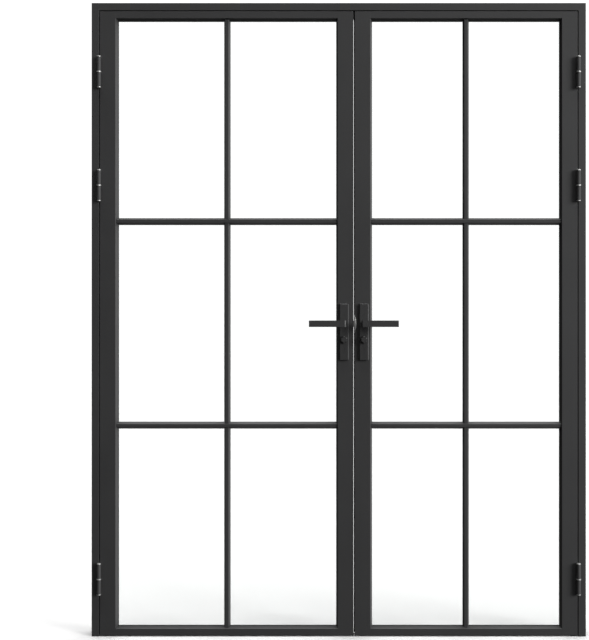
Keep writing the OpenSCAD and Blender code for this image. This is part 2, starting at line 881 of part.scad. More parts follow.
// Hub on the spindle, with the arm that draws the latch.
module hub(w) {
    color(metal) at_lock(w, lever_z) difference() {
        union() {
            rod_y(hub_r, -case_t / 2, case_t / 2);
            rotate([0, lever_turn, 0]) block([-arm_w / 2, arm_w / 2], [-2, 2], [0, arm_r]);
        }
        block([-spindle / 2, spindle / 2], [-case_t, case_t], [-spindle / 2, spindle / 2]);
    }
}

module latch(w) {
    rear = hub_r + latch_travel + 1.5;
    tip = backset + latch_out;
    hook_x = [2, 5];
    hook_z = [10.5, 14];
    tail_y = [2.6, 5.1];
    color(metal) at_lock(w, lever_z) {
        translate([0, 0, -latch_h / 2]) linear_extrude(latch_h)
            polygon([[rear, -latch_w / 2], [tip, -latch_w / 2], [tip, -latch_w / 2 + 2],
                     [backset, latch_w / 2], [rear, latch_w / 2]]);
        block([hook_x[0], rear + 3], tail_y, [latch_h / 2 - 1.5, hook_z[1]]);
        block(hook_x, [-3, tail_y[1]], hook_z);
    }
}

module deadbolt(w) {
    rear = crank_r + 3;
    slot_x = -crank_r * sin(crank_swing / 2);
    slot_w = 4.2;
    tail_y = [2.9, 4.7];
    color(metal) at_lock(w, turn_z) {
        block([rear, backset], [-bolt_w / 2, bolt_w / 2], [-bolt_h / 2, bolt_h / 2]);
        difference() {
            block([slot_x - slot_w / 2 - 1.5, rear + 2], tail_y, [-crank_r - 5, -4.7]);
            block([slot_x - slot_w / 2, slot_x + slot_w / 2], [0, case_t], [-crank_r - 2.3, 0]);
        }
    }
}

// Strike on the passive leaf's edge, with a bowed lip bent round the front corner.
module strike(w) {
    lip_x = w - lip_reach;
    bow = lip_reach + strike_t;
    bow_r = (lip_h * lip_h / 4 + bow * bow) / (2 * bow);
    y0 = front - strike_t;
    color(metal) {
        difference() {
            block([w, w + strike_t], [front, strike_back],
                  [lever_z - strike_h / 2, lever_z + strike_h / 2]);
            block([w - 1, w + strike_t + 1], [-latch_w / 2 - 0.7, latch_w / 2 + 0.7],
                  [lever_z - latch_h / 2 - 0.7, lever_z + latch_h / 2 + 0.7]);
            for (side = [-1, 1])
                translate([w - 1, 0, lever_z + side * (strike_h / 2 - edge_screw_in)]) rotate([0, 90, 0])
                    cylinder(d = edge_screw_d, h = strike_t + 2);
        }
        intersection() {
            translate([0, 0, lever_z - lip_h / 2]) linear_extrude(lip_h) difference() {
                union() {
                    translate([lip_x, y0]) square([lip_reach, strike_t]);
                    translate([w, front]) circle(r = strike_t);
                    translate([w, front - 0.01]) square([strike_t, 1]);
                }
                translate([lip_x - 1, front]) square([lip_reach + 1, 5]);
            }
            translate([lip_x + bow_r, 0, lever_z]) rod_y(bow_r, y0 - 1, 0);
        }
    }
}

// Bolt that holds the passive leaf at the head, and its guide in the stile's end.
module top_bolt(w) {
    foot = case_top - rod_grip;
    color(metal) translate([w - rod_x, 0, 0]) {
        translate([0, 0, foot]) cylinder(d = rod_d, h = leaf_z1 - 90 - foot);
        translate([0, 0, leaf_z1 - 90]) cylinder(d = top_bolt_d, h = 90 + top_bolt_out);
    }
}

module bolt_guide(w) {
    x = [w - rod_x - 13, w - wall - clear];
    y = [front + wall + clear, back - wall - clear];
    color(dark) difference() {
        block(x, y, [leaf_z1 - 35, leaf_z1]);
        translate([w - rod_x, 0, leaf_z1 - 40]) cylinder(d = top_bolt_d + 2 * clear, h = 50);
    }
}

module active_hinge_stile() { at_active() hinge_stile(); }
module active_lock_stile() { at_active() active_stile(active_w); }
module active_top_rail() { at_active() top_rail(active_w); }
module active_bottom_rail() { at_active() bottom_rail(active_w); }
module active_glass() { at_active() glass(active_w); }
module active_gaskets() { at_active() gaskets(active_w); }
module active_beads() { at_active() beads(active_w); }
module active_cross_bars() { at_active() cross_bars(active_w); }
module active_upright_bars() { at_active() upright_bars(active_w); }
module active_cleats() { at_active() cleats(active_w); }
module active_setting_blocks() { at_active() setting_blocks(active_w); }
module active_brush() { at_active() brush(active_w); }
module active_leaf_hinges() { at_active() leaf_hinges(); }
module active_hinge_caps() { at_active() hinge_caps(); }
module active_lock_case() { at_active() lock_case(active_w); }
module active_forend() { at_active() forend(active_w); }
module active_backplates() { at_active() backplates(active_w); }
module active_plate_screws() { at_active() plate_screws(active_w); }
module active_levers() { at_active() levers(active_w); }
module active_spindle() { at_active() spindle_bar(active_w); }
module active_hub() { at_active() hub(active_w); }
module active_latch() { at_active() latch(active_w); }
module active_turns() { at_active() turns(active_w, true); }
module active_deadbolt() { at_active() deadbolt(active_w); }
module passive_hinge_stile() { at_passive() hinge_stile(); }
module passive_lock_stile() { at_passive() passive_stile(passive_w); }
module passive_top_rail() { at_passive() top_rail(passive_w); }
module passive_bottom_rail() { at_passive() bottom_rail(passive_w); }
module passive_glass() { at_passive() glass(passive_w); }
module passive_gaskets() { at_passive() gaskets(passive_w); }
module passive_beads() { at_passive() beads(passive_w); }
module passive_cross_bars() { at_passive() cross_bars(passive_w); }
module passive_upright_bars() { at_passive() upright_bars(passive_w); }
module passive_cleats() { at_passive() cleats(passive_w); }
module passive_setting_blocks() { at_passive() setting_blocks(passive_w); }
module passive_brush() {
    at_passive() {
        brush(passive_w);
        meeting_brush(passive_w);
    }
}
module passive_leaf_hinges() { at_passive() leaf_hinges(); }
module passive_hinge_caps() { at_passive() hinge_caps(); }
module passive_gear_case() { at_passive() gear_case(passive_w); }
module passive_strike() { at_passive() strike(passive_w); }
module passive_backplates() { at_passive() backplates(passive_w); }
module passive_plate_screws() { at_passive() plate_screws(passive_w); }
module passive_levers() { at_passive() levers(passive_w); }
module passive_spindle() { at_passive() spindle_bar(passive_w); }
module passive_turns() { at_passive() turns(passive_w, false); }
module passive_top_bolt() { at_passive() top_bolt(passive_w); }
module passive_bolt_guide() { at_passive() bolt_guide(passive_w); }

left_jamb();
right_jamb();
head();
left_stop();
right_stop();
head_stop();
stop_seals();
frame_cleats();
head_keep();
left_frame_hinges();
right_frame_hinges();
hinge_pins();
hinge_rings();
active_hinge_stile();
active_lock_stile();
active_top_rail();
active_bottom_rail();
active_glass();
active_gaskets();
active_beads();
active_cross_bars();
active_upright_bars();
active_cleats();
active_setting_blocks();
active_brush();
active_leaf_hinges();
active_hinge_caps();
active_lock_case();
active_forend();
active_backplates();
active_plate_screws();
active_levers();
active_spindle();
active_hub();
active_latch();
active_turns();
active_deadbolt();
passive_hinge_stile();
passive_lock_stile();
passive_top_rail();
passive_bottom_rail();
passive_glass();
passive_gaskets();
passive_beads();
passive_cross_bars();
passive_upright_bars();
passive_cleats();
passive_setting_blocks();
passive_brush();
passive_leaf_hinges();
passive_hinge_caps();
passive_gear_case();
passive_strike();
passive_backplates();
passive_plate_screws();
passive_levers();
passive_spindle();
passive_turns();
passive_top_bolt();
passive_bolt_guide();
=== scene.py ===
"""Finishes for a pair of slim glazed aluminium doors in their frame.

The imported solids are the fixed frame. Each operator dresses one group of pieces: it rounds their
sharp edges, gives them their finish and adds the small parts that the solids leave out. The last one
sets the stage.
"""

import json
import math
import random

import bmesh
import bpy
from bpy.props import FloatProperty, FloatVectorProperty, PointerProperty
from mathutils import Matrix, Vector


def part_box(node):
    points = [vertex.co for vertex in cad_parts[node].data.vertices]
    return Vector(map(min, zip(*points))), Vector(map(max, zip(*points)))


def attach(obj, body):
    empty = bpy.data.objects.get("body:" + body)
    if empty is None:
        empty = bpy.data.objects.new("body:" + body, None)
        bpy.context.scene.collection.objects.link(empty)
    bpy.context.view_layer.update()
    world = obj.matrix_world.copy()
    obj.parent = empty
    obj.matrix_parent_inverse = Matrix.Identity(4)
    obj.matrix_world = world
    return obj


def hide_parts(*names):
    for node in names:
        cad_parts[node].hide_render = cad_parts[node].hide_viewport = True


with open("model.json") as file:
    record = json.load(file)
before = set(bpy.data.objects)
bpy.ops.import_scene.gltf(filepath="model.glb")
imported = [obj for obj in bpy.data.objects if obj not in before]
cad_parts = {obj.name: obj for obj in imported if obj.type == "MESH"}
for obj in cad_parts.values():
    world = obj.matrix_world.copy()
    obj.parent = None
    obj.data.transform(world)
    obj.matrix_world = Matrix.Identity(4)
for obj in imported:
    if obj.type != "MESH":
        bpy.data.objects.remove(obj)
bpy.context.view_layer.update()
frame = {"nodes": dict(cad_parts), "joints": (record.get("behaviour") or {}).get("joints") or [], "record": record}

bl_info = {
    "name": "Glazed double door finishes",
    "version": (1, 0, 0),
    "blender": (4, 5, 0),
    "location": "View3D > Sidebar > Door",
    "description": "Finishes, small parts and stage for a pair of glazed aluminium doors",
    "category": "Object",
}

MM = 0.001
LEAVES = ("active", "passive")
BODY_OF = {node: body for body, nodes in frame["record"]["behaviour"]["bodies"].items() for node in nodes}
SLOT_OF = {part["node"]: part["material_slot"] for part in frame["record"]["subparts"]}
JOINT = {joint["name"]: joint for joint in frame["joints"]}

# Points closer than this are one point, in a solid and after its edges are rounded.
WELD = 1e-6
ROUNDED_WELD = 0.02 * MM
# Faces that meet at less than the first angle are one flat face, and at less than the second one curve.
FLAT_ANGLE = math.radians(0.5)
SHARP_ANGLE = math.radians(32)
# Edges this near to the middle of the glass close up against it and stay sharp.
GLASS_ZONE = 7.5 * MM
# Edges that meet at more than this run on into each other.
RUN_ON_ANGLE = math.radians(150)
# Share of a face beside an edge that its rounding may take up.
ROUNDING_SHARE = 0.45


class DOOR_PG_finish(bpy.types.PropertyGroup):
    """Colours and textures of the finishes."""

    coat_colour: FloatVectorProperty(
        name="Coat colour", description="Colour of the powder coat on frame and leaves",
        subtype="COLOR", size=3, min=0, max=1, default=(0.021, 0.021, 0.0215))
    coat_roughness: FloatProperty(
        name="Coat roughness", description="Roughness of the powder coat", min=0, max=1, default=0.5)
    coat_grain: FloatProperty(
        name="Coat grain", description="Size of the orange peel in the powder coat",
        unit="LENGTH", default=0.0016)
    handle_colour: FloatVectorProperty(
        name="Handle colour", description="Colour of the coat on the handles",
        subtype="COLOR", size=3, min=0, max=1, default=(0.020, 0.020, 0.0205))
    handle_roughness: FloatProperty(
        name="Handle roughness", description="Roughness of the coat on the handles",
        min=0, max=1, default=0.46)
    hinge_colour: FloatVectorProperty(
        name="Hinge colour", description="Colour of the coat on the hinges",
        subtype="COLOR", size=3, min=0, max=1, default=(0.022, 0.022, 0.0225))
    hinge_roughness: FloatProperty(
        name="Hinge roughness", description="Roughness of the coat on the hinges",
        min=0, max=1, default=0.7)
    fine_grain: FloatProperty(
        name="Fine grain", description="Size of the orange peel on handles and hinges",
        unit="LENGTH", default=0.0009)
    steel_colour: FloatVectorProperty(
        name="Steel colour", description="Colour of the satin steel of plates and bolts",
        subtype="COLOR", size=3, min=0, max=1, default=(0.68, 0.68, 0.67))
    steel_roughness: FloatProperty(
        name="Steel roughness", description="Roughness of the steel of plates and bolts",
        min=0, max=1, default=0.42)
    trim_colour: FloatVectorProperty(
        name="Trim colour", description="Colour of the blasted steel of hinge pins, rings and caps",
        subtype="COLOR", size=3, min=0, max=1, default=(0.34, 0.34, 0.335))
    trim_roughness: FloatProperty(
        name="Trim roughness", description="Roughness of the steel of hinge pins, rings and caps",
        min=0, max=1, default=0.56)
    glass_colour: FloatVectorProperty(
        name="Glass colour", description="Tint of the glass", subtype="COLOR",
        size=3, min=0, max=1, default=(0.982, 0.994, 0.988))


class DOOR_PG_edges(bpy.types.PropertyGroup):
    """Radius of the rounded edges and sizes of the small parts."""

    profile_edge: FloatProperty(
        name="Profile edge", description="Radius on the edges of frame and leaf profiles",
        unit="LENGTH", default=0.0003)
    plate_edge: FloatProperty(
        name="Plate edge", description="Radius on the edges of the backplates",
        unit="LENGTH", default=0.0014)
    lever_edge: FloatProperty(
        name="Lever edge", description="Radius on the edges of the levers", unit="LENGTH", default=0.0012)
    steel_edge: FloatProperty(
        name="Steel edge", description="Radius on the edges of plates, bolts and rings",
        unit="LENGTH", default=0.0003)
    glass_edge: FloatProperty(
        name="Glass edge", description="Width of the ground arris on the edges of the glass",
        unit="LENGTH", default=0.001)
    bristle_pitch: FloatProperty(
        name="Bristle pitch", description="Distance between bristles of the brush strip",
        unit="LENGTH", default=0.0016)
    bristle_lead: FloatProperty(
        name="Bristle lead", description="Length by which the soft pile between the leaves is longer",
        unit="LENGTH", default=0.0007)
    fin_thickness: FloatProperty(
        name="Fin thickness", description="Thickness of the blade in the middle of the pile",
        unit="LENGTH", default=0.0004)
    bristle_width: FloatProperty(
        name="Bristle width", description="Width of a bristle at its root", unit="LENGTH", default=0.0012)


class DOOR_PG_stage(bpy.types.PropertyGroup):
    """Camera, light and floor."""

    camera_distance: FloatProperty(
        name="Camera distance", description="Distance of the camera from the leaves' front",
        unit="LENGTH", default=3.5)
    camera_side: FloatProperty(
        name="Camera side", description="Distance of the camera to the right of the frame's centre",
        unit="LENGTH", default=0.085)
    camera_height: FloatProperty(
        name="Camera height", description="Height of the camera above the floor",
        unit="LENGTH", default=1.0341)
    view_height: FloatProperty(
        name="View height", description="Height of the view at the leaves' front",
        unit="LENGTH", default=2.0911)
    view_shift: FloatProperty(
        name="View shift", description="Sideways shift of the lens, as a share of the view's height",
        default=-0.1098)
    floor_colour: FloatVectorProperty(
        name="Floor colour", description="Colour of the floor", subtype="COLOR",
        size=3, min=0, max=1, default=(0.498, 0.498, 0.498))
    key_light: FloatProperty(
        name="Key light", description="Strength of the light from the right", default=4.3)
    key_softness: FloatProperty(
        name="Key softness", description="Angle under which the light from the right is seen",
        subtype="ANGLE", default=0.5)
    top_light: FloatProperty(
        name="Top light", description="Strength of the light from above", default=5.2)
    top_softness: FloatProperty(
        name="Top softness", description="Angle under which the light from above is seen",
        subtype="ANGLE", default=0.7)
    right_glow: FloatProperty(
        name="Right glow", description="Brightness of the room at the right, behind the door", default=1.1)
    top_glow: FloatProperty(
        name="Top glow", description="Brightness of the room above, behind the door", default=0.2)
    front_glow: FloatProperty(
        name="Front glow", description="Brightness of the room in front of the door", default=0.3)
    low_glow: FloatProperty(
        name="Low glow", description="Brightness of the room near the floor", default=0.5)
    backdrop: FloatProperty(
        name="Backdrop", description="Brightness of the plain backdrop", default=1.15)


class Recipe:
    """A material, with the few nodes that the finishes here are made from."""

    def __init__(self, name):
        self.material = bpy.data.materials.new(name)
        self.material.use_nodes = True
        self.tree = self.material.node_tree
        self.shader = self.tree.nodes["Principled BSDF"]
        self.place = self.tree.nodes.new("ShaderNodeTexCoord").outputs["Object"]

    def set(self, **values):
        """Sets plain values on the shader, by socket name with _ for a space."""
        for name, value in values.items():
            self.shader.inputs[name.replace("_", " ")].default_value = value

    def feed(self, name, socket):
        self.tree.links.new(socket, self.shader.inputs[name])

    def pattern(self, kind, size, stretch=(1, 1, 1)):
        """A pattern node whose grains are about size metres across, drawn out by stretch."""
        scale = self.tree.nodes.new("ShaderNodeMapping")
        scale.inputs["Scale"].default_value = [1 / (size * s) for s in stretch]
        self.tree.links.new(self.place, scale.inputs["Vector"])
        grain = self.tree.nodes.new(kind)
        grain.inputs["Scale"].default_value = 1.0
        self.tree.links.new(scale.outputs["Vector"], grain.inputs["Vector"])
        return grain

    def noise(self, size, stretch=(1, 1, 1), detail=2.0):
        grain = self.pattern("ShaderNodeTexNoise", size, stretch)
        grain.inputs["Detail"].default_value = detail
        return grain.outputs["Fac"]

    def cells(self, size):
        """Flat cells, each with its own random value."""
        return self.pattern("ShaderNodeTexVoronoi", size).outputs["Color"]

    def span(self, socket, low, high, start=0.3, end=0.7):
        """Maps start to end of a pattern onto low to high."""
        reach = self.tree.nodes.new("ShaderNodeMapRange")
        for name, value in (("From Min", start), ("From Max", end), ("To Min", low), ("To Max", high)):
            reach.inputs[name].default_value = value
        self.tree.links.new(socket, reach.inputs["Value"])
        return reach.outputs["Result"]

    def shades(self, socket, colour, dark, light):
        """The colour between dark and light times itself, as the pattern says."""
        blend = self.tree.nodes.new("ShaderNodeMix")
        blend.data_type = "RGBA"
        blend.inputs["A"].default_value = [c * dark for c in colour] + [1]
        blend.inputs["B"].default_value = [min(1, c * light) for c in colour] + [1]
        self.tree.links.new(self.span(socket, 0, 1), blend.inputs["Factor"])
        return blend.outputs["Result"]

    def bump(self, *layers):
        """Feeds the normal from patterns, each with its depth in metres."""
        normal = None
        for socket, depth in layers:
            relief = self.tree.nodes.new("ShaderNodeBump")
            relief.inputs["Distance"].default_value = depth
            self.tree.links.new(socket, relief.inputs["Height"])
            if normal:
                self.tree.links.new(normal, relief.inputs["Normal"])
            normal = relief.outputs["Normal"]
        self.feed("Normal", normal)


def powder_coat(name, colour, roughness, grain):
    """Fine matt black coat: a faint cloudiness, pin-head speckle and orange peel."""
    coat = Recipe(name)
    clouds = coat.noise(size=0.18, detail=3)
    peel = coat.noise(size=grain, detail=1)
    speckle = coat.noise(size=grain * 0.4, detail=2)
    coat.feed("Base Color", coat.shades(clouds, colour, dark=0.92, light=1.08))
    coat.feed("Roughness", coat.span(speckle, roughness - 0.05, roughness + 0.07))
    coat.set(Specular_IOR_Level=0.5)
    coat.bump((peel, grain * 0.05), (speckle, grain * 0.03))
    return coat.material


def satin_steel(name, colour, roughness):
    """Steel brushed along its length, with faint hazy patches."""
    steel = Recipe(name)
    hairs = steel.noise(size=0.0003, stretch=(1, 1, 14), detail=2)
    haze = steel.noise(size=0.02, detail=3)
    steel.feed("Base Color", steel.shades(haze, colour, dark=0.9, light=1.08))
    steel.feed("Roughness", steel.span(hairs, roughness - 0.08, roughness + 0.08))
    steel.set(Metallic=1.0)
    steel.bump((hairs, 0.00002))
    return steel.material


def zinc_plate(name):
    """Zinc plated steel with its spangle."""
    zinc = Recipe(name)
    spangle = zinc.cells(size=0.006)
    zinc.feed("Base Color", zinc.shades(spangle, (0.5, 0.51, 0.53), dark=0.82, light=1.15))
    zinc.feed("Roughness", zinc.span(spangle, low=0.28, high=0.5))
    zinc.set(Metallic=1.0)
    return zinc.material


def window_glass(name, colour):
    """Clear glass with a faint tint and a very slight waviness."""
    glass = Recipe(name)
    wave = glass.noise(size=0.25, detail=1)
    glass.set(Base_Color=(*colour, 1), Roughness=0.0, IOR=1.5, Transmission_Weight=1.0)
    glass.bump((wave, 0.00004))
    return glass.material


def dull_black(name, shade, roughness, grain, depth):
    """Rubber or moulded plastic: even black with a fine pitted skin."""
    skin = Recipe(name)
    pits = skin.noise(size=grain, detail=2)
    bloom = skin.noise(size=0.03, detail=3)
    skin.feed("Base Color", skin.shades(bloom, (shade, shade, shade), dark=0.85, light=1.2))
    skin.feed("Roughness", skin.span(pits, roughness - 0.08, roughness + 0.08))
    skin.bump((pits, depth))
    return skin.material


def make_finishes(finish):
    """One material for each slot of the record, and one for the steel trim of the hinges."""
    coat = (finish.coat_colour, finish.coat_roughness, finish.coat_grain)
    handle = (finish.handle_colour, finish.handle_roughness, finish.fine_grain)
    hinge = (finish.hinge_colour, finish.hinge_roughness, finish.fine_grain)
    return {
        "frame_black": powder_coat("frame_coat", *coat),
        "leaf_black": powder_coat("leaf_coat", *coat),
        "hinge_black": powder_coat("hinge_coat", *hinge),
        "handle_black": powder_coat("handle_coat", *handle),
        "satin_steel": satin_steel("satin_steel", finish.steel_colour, finish.steel_roughness),
        "hinge_trim": satin_steel("hinge_trim", finish.trim_colour, finish.trim_roughness),
        "zinc_steel": zinc_plate("zinc_plate"),
        "clear_glass": window_glass("clear_glass", finish.glass_colour),
        "black_rubber": dull_black("black_rubber", shade=0.012, roughness=0.62, grain=0.0008, depth=0.00003),
        "brush_pile": dull_black("brush_pile", shade=0.014, roughness=0.7, grain=0.0006, depth=0.00004),
        "dark_plastic": dull_black("dark_plastic", shade=0.02, roughness=0.5, grain=0.0012, depth=0.00004),
    }


FINISHES = {}
HINGE_TRIM = ("hinge_pins", "hinge_rings", "active_hinge_caps", "passive_hinge_caps")


def finish_of(node):
    """The finish of a node, made when the first one is asked for."""
    if not FINISHES:
        FINISHES.update(make_finishes(bpy.context.scene.door_finish))
    return FINISHES["hinge_trim" if node in HINGE_TRIM else SLOT_OF[node]]


def paint(node):
    """Gives a solid that stays as it is the finish of its slot."""
    solid = frame["nodes"][node]
    solid.data.materials.clear()
    solid.data.materials.append(finish_of(node))


def add_piece(name, bm, like):
    """Makes an object of a mesh, with the finish and the body of the node that it is like."""
    mesh = bpy.data.meshes.new(name)
    bm.normal_update()
    bm.to_mesh(mesh)
    bm.free()
    mesh.shade_smooth()
    mesh.set_sharp_from_angle(angle=SHARP_ANGLE)
    mesh.materials.append(finish_of(like))
    piece = bpy.data.objects.new(name, mesh)
    bpy.context.scene.collection.objects.link(piece)
    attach(piece, BODY_OF[like])
    return piece


def rounding_room(edge):
    """Largest radius that the faces at both ends of an edge leave room for."""
    room = math.inf
    for vert in edge.verts:
        along = edge.other_vert(vert).co - vert.co
        for side in vert.link_edges:
            way = side.other_vert(vert).co - vert.co
            turn = along.angle(way)
            if side != edge and turn < RUN_ON_ANGLE:
                room = min(room, way.length * math.sin(turn))
    return ROUNDING_SHARE * room


def round_edges(node, radius, sharp_within=0.0):
    """Stands a copy of the solid in its place, with its sharp edges rounded.

    Edges no further than sharp_within from the middle of the leaf thickness stay sharp.
    """
    bm = bmesh.new()
    bm.from_mesh(frame["nodes"][node].data)
    bmesh.ops.remove_doubles(bm, verts=bm.verts, dist=WELD)
    bmesh.ops.dissolve_limit(bm, angle_limit=FLAT_ANGLE, verts=bm.verts, edges=bm.edges)
    weight = bm.edges.layers.float.new("bevel_weight_edge")
    for edge in bm.edges:
        sharp = edge.is_convex and edge.calc_face_angle() > SHARP_ANGLE
        inside = all(abs(vert.co.y) < sharp_within for vert in edge.verts)
        edge[weight] = 1.0 if sharp and not inside and rounding_room(edge) > radius else 0.0
    piece = add_piece(f"{node}_finished", bm, node)
    rounding = piece.modifiers.new("rounded edges", "BEVEL")
    rounding.width = radius
    rounding.segments = 2
    rounding.limit_method = "WEIGHT"
    rounding.use_clamp_overlap = False
    clean = piece.modifiers.new("joined points", "WELD")
    clean.merge_threshold = ROUNDED_WELD
    flat = piece.modifiers.new("flat faces", "WEIGHTED_NORMAL")
    flat.keep_sharp = True
    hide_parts(node)
    return piece


def solids_of(node):
    """(lowest corner, highest corner) of each separate solid in a node."""
    bm = bmesh.new()
    bm.from_mesh(frame["nodes"][node].data)
    bmesh.ops.remove_doubles(bm, verts=bm.verts, dist=WELD)
    left = set(bm.verts)
    boxes = []
    while left:
        todo = [left.pop()]
        points = []
        while todo:
            vert = todo.pop()
            points.append(vert.co.copy())
            for edge in vert.link_edges:
                other = edge.other_vert(vert)
                if other in left:
                    left.remove(other)
                    todo.append(other)
        low = Vector(min(p[i] for p in points) for i in range(3))
        high = Vector(max(p[i] for p in points) for i in range(3))
        boxes.append((low, high))
    bm.free()
    return sorted(boxes, key=lambda box: tuple(box[0]))


def add_ring_surface(bm, rings):
    """Joins rings of points, given in order, to a surface, and closes its two ends."""
    made = [[bm.verts.new(point) for point in ring] for ring in rings]
    count = len(made[0])
    for below, above in zip(made, made[1:]):
        for i in range(count):
            j = (i + 1) % count
            bm.faces.new((below[i], below[j], above[j], above[i]))
    bm.faces.new(list(reversed(made[0])))
    bm.faces.new(made[-1])


def add_screw(bm, place, outward, head_r):
    """A countersunk screw head with a hexagon socket, its rim flush with the plate."""
    steps = 24
    socket_r, socket_d, sunk = 0.5 * head_r, 0.45 * head_r, 0.5 * head_r
    proud = 0.06 * head_r

    def ring(radius, height, sides=0):
        points = []
        for i in range(steps):
            a = 2 * math.pi * i / steps
            r = radius
            if sides:
                wedge = 2 * math.pi / sides
                r = radius * math.cos(wedge / 2) / math.cos((a % wedge) - wedge / 2)
            points.append(Vector((r * math.cos(a), r * math.sin(a), height)))
        return points

    rings = [
        ring(0.6 * head_r, -sunk),
        ring(head_r, 0),
        ring(0.9 * head_r, proud),
        ring(socket_r * 1.1, proud),
        ring(socket_r, proud * 0.5, 6),
        ring(socket_r * 0.96, -socket_d, 6),
        ring(socket_r * 0.2, -socket_d * 1.2),
    ]
    turn = outward.to_track_quat("Z", "Y").to_matrix().to_4x4()
    stand = Matrix.Translation(place) @ turn
    add_ring_surface(bm, [[stand @ p for p in points] for points in rings])


class DOOR_OT_frame(bpy.types.Operator):
    """Dress the jambs, head and stops of the frame"""

    bl_idname = "door.frame"
    bl_label = "Frame"

    def execute(self, context):
        for node in ("left_jamb", "right_jamb", "head", "left_stop", "right_stop", "head_stop"):
            round_edges(node, context.scene.door_edges.profile_edge)
        paint("frame_cleats")
        return {"FINISHED"}


class DOOR_OT_leaves(bpy.types.Operator):
    """Dress the stiles, rails, glazing bars and beads of both leaves"""

    bl_idname = "door.leaves"
    bl_label = "Leaves"

    def execute(self, context):
        parts = ("hinge_stile", "lock_stile", "top_rail", "bottom_rail",
                 "beads", "cross_bars", "upright_bars")
        for leaf in LEAVES:
            for part in parts:
                round_edges(f"{leaf}_{part}", context.scene.door_edges.profile_edge, GLASS_ZONE)
            paint(f"{leaf}_cleats")
        return {"FINISHED"}


class DOOR_OT_glass(bpy.types.Operator):
    """Dress the panes with their gaskets and setting blocks"""

    bl_idname = "door.glass"
    bl_label = "Glass"

    def execute(self, context):
        for leaf in LEAVES:
            pane = round_edges(f"{leaf}_glass", context.scene.door_edges.glass_edge)
            # The panes let all light through and stay out of reflections.
            pane.visible_shadow = False
            pane.visible_glossy = False
            pane.visible_diffuse = False
            for part in ("gaskets", "setting_blocks"):
                paint(f"{leaf}_{part}")
        return {"FINISHED"}


class DOOR_OT_seals(bpy.types.Operator):
    """Model the seals on the stops and the bristles under and between the leaves"""

    bl_idname = "door.seals"
    bl_label = "Seals"

    # Section of a stop seal, as shares of its depth and width: its foot, the bare rims of the foot and
    # half of its bulb. The bulb is blunter than a half circle.
    foot_share = 0.25
    rim_share = 0.12
    bulb_share = 0.34
    bulb_bluntness = 0.8
    bulb_steps = 12
    # Bristles: shares of a bristle's width at its tip, of its length that varies and of the pitch that
    # every second row is set back by.
    tip_share = 0.4
    ragged_share = 0.12
    set_back = 0.4

    def execute(self, context):
        self.add_lips()
        for leaf in LEAVES:
            self.add_bristles(context.scene.door_edges, f"{leaf}_brush")
        return {"FINISHED"}

    def add_lips(self):
        """A soft bulb on a flat foot, along each stop."""
        bm = bmesh.new()
        for low, high in solids_of("stop_seals"):
            along = 2 if high.z - low.z > high.x - low.x else 0
            across = 0 if along == 2 else 2
            width, depth = high[across] - low[across], high.y - low.y
            top = depth - self.foot_share * depth
            rim = self.rim_share * width
            section = [(0.0, depth), (0.0, top), (rim, top)]
            for i in range(self.bulb_steps + 1):
                a = math.pi * i / self.bulb_steps
                bulge = 1 - math.sin(a) ** self.bulb_bluntness
                section.append((width * (0.5 - self.bulb_share * math.cos(a)), top * bulge))
            section += [(width - rim, top), (width, top), (width, depth)]
            rings = []
            for end in (low[along], high[along]):
                points = []
                for v, y in section:
                    point = Vector((0, low.y + y, 0))
                    point[across] = low[across] + v
                    point[along] = end
                    points.append(point)
                rings.append(points)
            add_ring_surface(bm, rings)
        bmesh.ops.recalc_face_normals(bm, faces=bm.faces)
        piece = add_piece("stop_seals_lipped", bm, "stop_seals")
        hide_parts("stop_seals")

    def add_fin(self, bm, low, high, across, thickness):
        """The thin blade that stands in the middle of the pile."""
        low, high = low.copy(), high.copy()
        middle = (low[across] + high[across]) / 2
        low[across], high[across] = middle - thickness / 2, middle + thickness / 2
        block = bmesh.ops.create_cube(bm, size=1.0)
        for vert in block["verts"]:
            for axis in range(3):
                vert.co[axis] = low[axis] if vert.co[axis] < 0 else high[axis]

    def add_bristles(self, edges, node):
        """Rows of short tapered bristles that lean a little, each its own way."""
        lean = random.Random(node)
        bm = bmesh.new()
        for low, high in solids_of(node):
            size = high - low
            reach, across, along = sorted(range(3), key=lambda axis: size[axis])
            # The upright strip is the one between the leaves.
            if along == 2:
                low[reach] -= edges.bristle_lead
            rows = round(size[across] / edges.bristle_pitch)
            count = int(size[along] / edges.bristle_pitch) - 1
            root = edges.bristle_width / 2
            tip = self.tip_share * root
            self.add_fin(bm, low, high, across, edges.fin_thickness)
            for row in range(rows):
                for i in range(count):
                    stand = Vector()
                    stand[reach] = high[reach]
                    stand[across] = low[across] + (row + 0.5) * size[across] / rows
                    stand[along] = low[along] + (i + 1 + self.set_back * (row % 2)) * edges.bristle_pitch
                    point = stand.copy()
                    point[reach] = low[reach] + lean.uniform(0, self.ragged_share) * size[reach]
                    point[across] += lean.uniform(-1, 1) * root
                    point[along] += lean.uniform(-1, 1) * root
                    ends = []
                    for middle, half in ((point, tip), (stand, root)):
                        ring = []
                        for u, v in ((-1, -1), (1, -1), (1, 1), (-1, 1)):
                            corner = middle.copy()
                            corner[across] += u * half
                            corner[along] += v * half
                            ring.append(corner)
                        ends.append(ring)
                    add_ring_surface(bm, ends)
        bmesh.ops.recalc_face_normals(bm, faces=bm.faces)
        piece = add_piece(f"{node}_bristles", bm, node)
        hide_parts(node)


